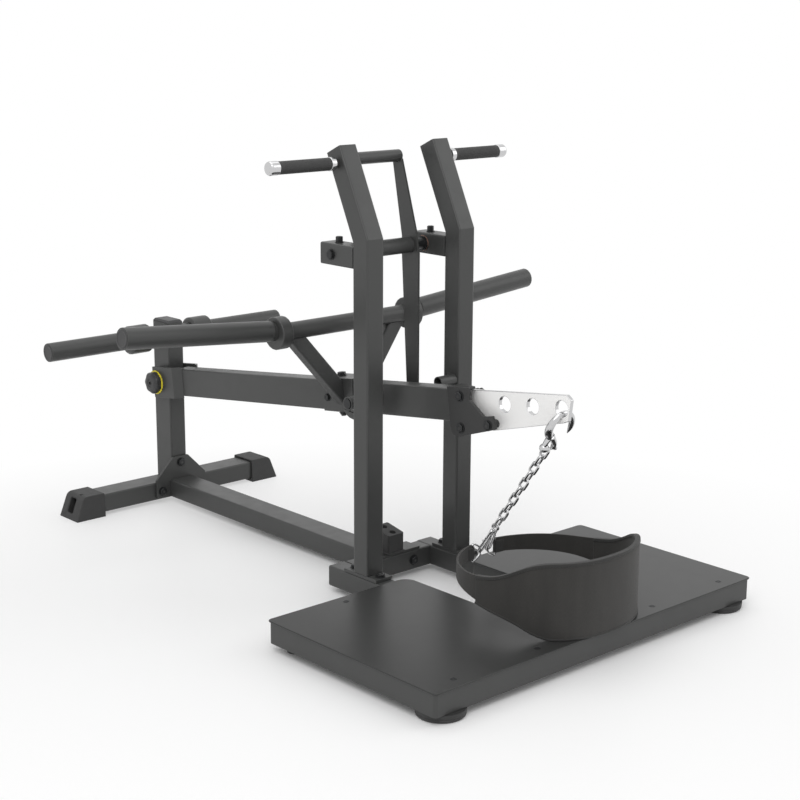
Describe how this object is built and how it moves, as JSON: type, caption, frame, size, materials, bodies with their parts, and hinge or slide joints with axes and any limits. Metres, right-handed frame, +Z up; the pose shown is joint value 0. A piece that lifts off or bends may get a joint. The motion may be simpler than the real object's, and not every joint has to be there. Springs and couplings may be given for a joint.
{
  "type": "belt squat machine",
  "caption": "Plate-loaded lever arm on a rear post lifts a hip belt from below a chain, above a standing platform, with a release lever that holds the arm up.",
  "frame": {"origin": "on the floor, under the centre of the machine's bounding box", "axes": "+X to the side with the lever stop, +Y from the platform to the rear post, +Z up"},
  "size_m": [1.2682, 1.681, 1.0586],
  "materials": {
    "frame_paint": "satin anthracite powder coat",
    "bright_chrome": "polished",
    "rubber_black": "matt",
    "black_plastic": "satin",
    "black_steel": "blackened",
    "belt_cloth": "matt, padded"
  },
  "bodies": {
    "frame": {"platform_deck": "frame_paint", "platform_skirt": "frame_paint", "front_foot_right": "rubber_black", "front_foot_left": "rubber_black", "rear_foot_right": "rubber_black", "rear_foot_left": "rubber_black", "side_base_tube_right": "frame_paint", "side_base_tube_left": "frame_paint", "base_cross_tube": "frame_paint", "base_beam": "frame_paint", "arm_stop_plate": "frame_paint", "arm_stop": "rubber_black", "rear_end_plate": "frame_paint", "rear_crossbar": "frame_paint", "crossbar_cap_right": "rubber_black", "crossbar_cap_left": "rubber_black", "rear_post": "frame_paint", "rear_post_cap": "black_plastic", "storage_peg_right": "frame_paint", "storage_peg_left": "frame_paint", "upright_right": "frame_paint", "upright_left": "frame_paint", "foot_plate_right": "frame_paint", "foot_plate_left": "frame_paint", "grip_bar_right": "bright_chrome", "grip_bar_left": "bright_chrome", "grip_right": "rubber_black", "grip_left": "rubber_black", "lever_carrier_right": "frame_paint", "lever_carrier_left": "frame_paint", "lever_shaft": "black_steel", "lever_stop": "frame_paint"},
    "arm": {"arm_tube": "frame_paint", "yoke_cheek_right": "frame_paint", "yoke_cheek_left": "frame_paint", "arm_pivot_shaft": "black_steel", "pivot_knob_right": "black_plastic", "pivot_knob_left": "black_plastic", "weight_bar": "frame_paint", "weight_hub_right": "frame_paint", "weight_hub_left": "frame_paint", "weight_peg_right": "frame_paint", "weight_peg_left": "frame_paint", "strut_right": "frame_paint", "strut_left": "frame_paint", "strut_saddle": "frame_paint", "catch_pin": "black_steel", "catch_bush_right": "frame_paint", "catch_bush_left": "frame_paint", "hook_bracket": "frame_paint", "hook_plate": "bright_chrome"},
    "lever": {"lever_plate_right": "frame_paint", "lever_plate_left": "frame_paint", "lever_sleeve": "frame_paint", "lever_handle": "frame_paint"},
    "hook": {"open_hook": "bright_chrome"},
    "chain": {"chain": "bright_chrome"},
    "belt": {"belt": "belt_cloth", "snap_hook_right": "bright_chrome", "snap_hook_left": "bright_chrome"}
  },
  "joints": [
    {"name": "arm_pivot", "type": "hinge", "parent": "frame", "child": "arm", "pos_m": [0, 0.795, 0.3375], "axis": [-1, 0, 0], "range_deg": [0, 15]},
    {"name": "lever_pivot", "type": "hinge", "parent": "frame", "child": "lever", "pos_m": [0, -0.1185, 0.811], "axis": [-1, 0, 0], "range_deg": [0, 10.8]},
    {"name": "hook_swing", "type": "hinge", "parent": "arm", "child": "hook", "pos_m": [0, -0.68588, 0.51931], "axis": [-1, 0, 0], "range_deg": [0, 20]},
    {"name": "chain_swing", "type": "hinge", "parent": "hook", "child": "chain", "pos_m": [0, -0.63925, 0.42973], "axis": [-1, 0, 0], "range_deg": [0, 20]},
    {"name": "belt_swing", "type": "hinge", "parent": "chain", "child": "belt", "pos_m": [0, -0.49145, 0.22021], "axis": [-1, 0, 0], "range_deg": [0, 20]}
  ]
}
